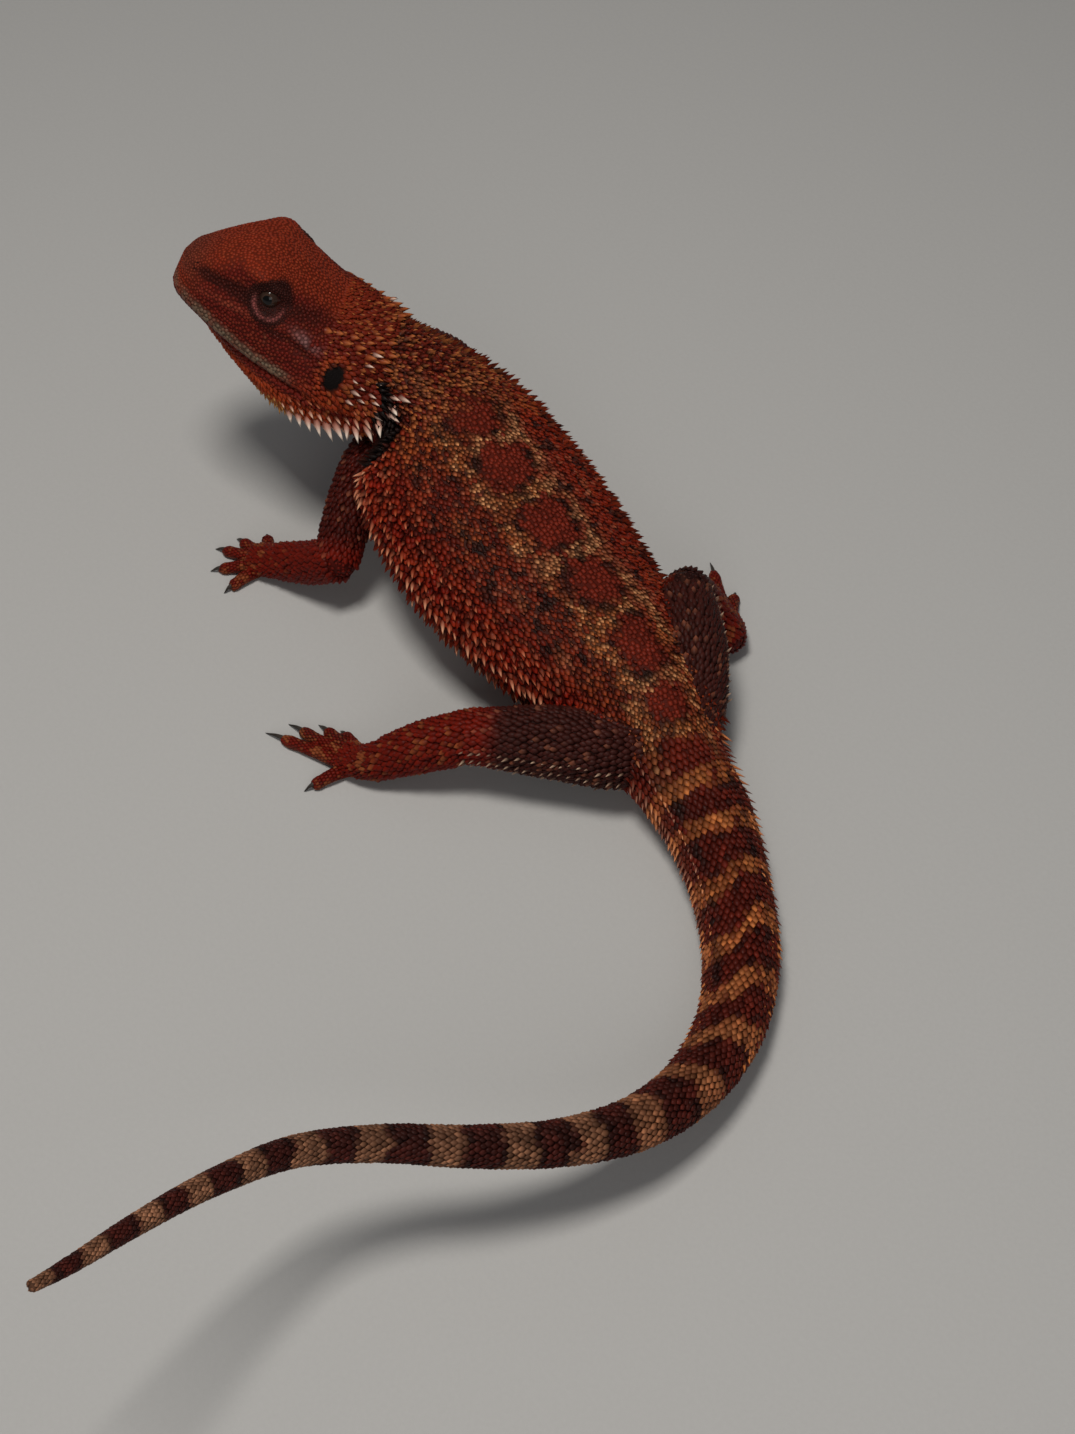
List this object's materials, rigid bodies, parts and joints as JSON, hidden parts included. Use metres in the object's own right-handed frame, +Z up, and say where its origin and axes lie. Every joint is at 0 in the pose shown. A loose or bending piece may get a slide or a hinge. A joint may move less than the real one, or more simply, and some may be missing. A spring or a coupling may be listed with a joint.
{
  "type": "central bearded dragon model",
  "caption": "Life-size still model of a red central bearded dragon lying with its head raised and turned and its tail curled forward.",
  "frame": {"origin": "middle of the flat on which the rear of the belly rests, under the hips, on the floor", "axes": "+X forward along the trunk towards the head, +Y to the animal's left, +Z up from the floor"},
  "size_m": [0.2668, 0.2655, 0.0871],
  "materials": {
    "head_scales": "dry scaled skin, brick red with pale spines",
    "body_scales": "dry keeled scales, mahogany with a tan network",
    "tail_scales": "dry keeled scales, banded maroon and tan",
    "limb_scales": "dry keeled scales, orange red",
    "thigh_scales": "dry granular scales, grey brown",
    "eye": "wet gloss"
  },
  "bodies": {
    "root": {"head": "head_scales", "eye_left": "eye", "eye_right": "eye", "neck": "body_scales", "torso": "body_scales", "tail_1": "tail_scales", "tail_2": "tail_scales", "tail_3": "tail_scales", "tail_4": "tail_scales", "tail_5": "tail_scales", "upper_arm_left": "limb_scales", "upper_arm_right": "limb_scales", "forearm_left": "limb_scales", "forearm_right": "limb_scales", "hand_left": "limb_scales", "hand_right": "limb_scales", "thigh_left": "thigh_scales", "thigh_right": "thigh_scales", "shank_left": "limb_scales", "shank_right": "limb_scales", "foot_left": "limb_scales", "foot_right": "limb_scales"}
  },
  "joints": []
}
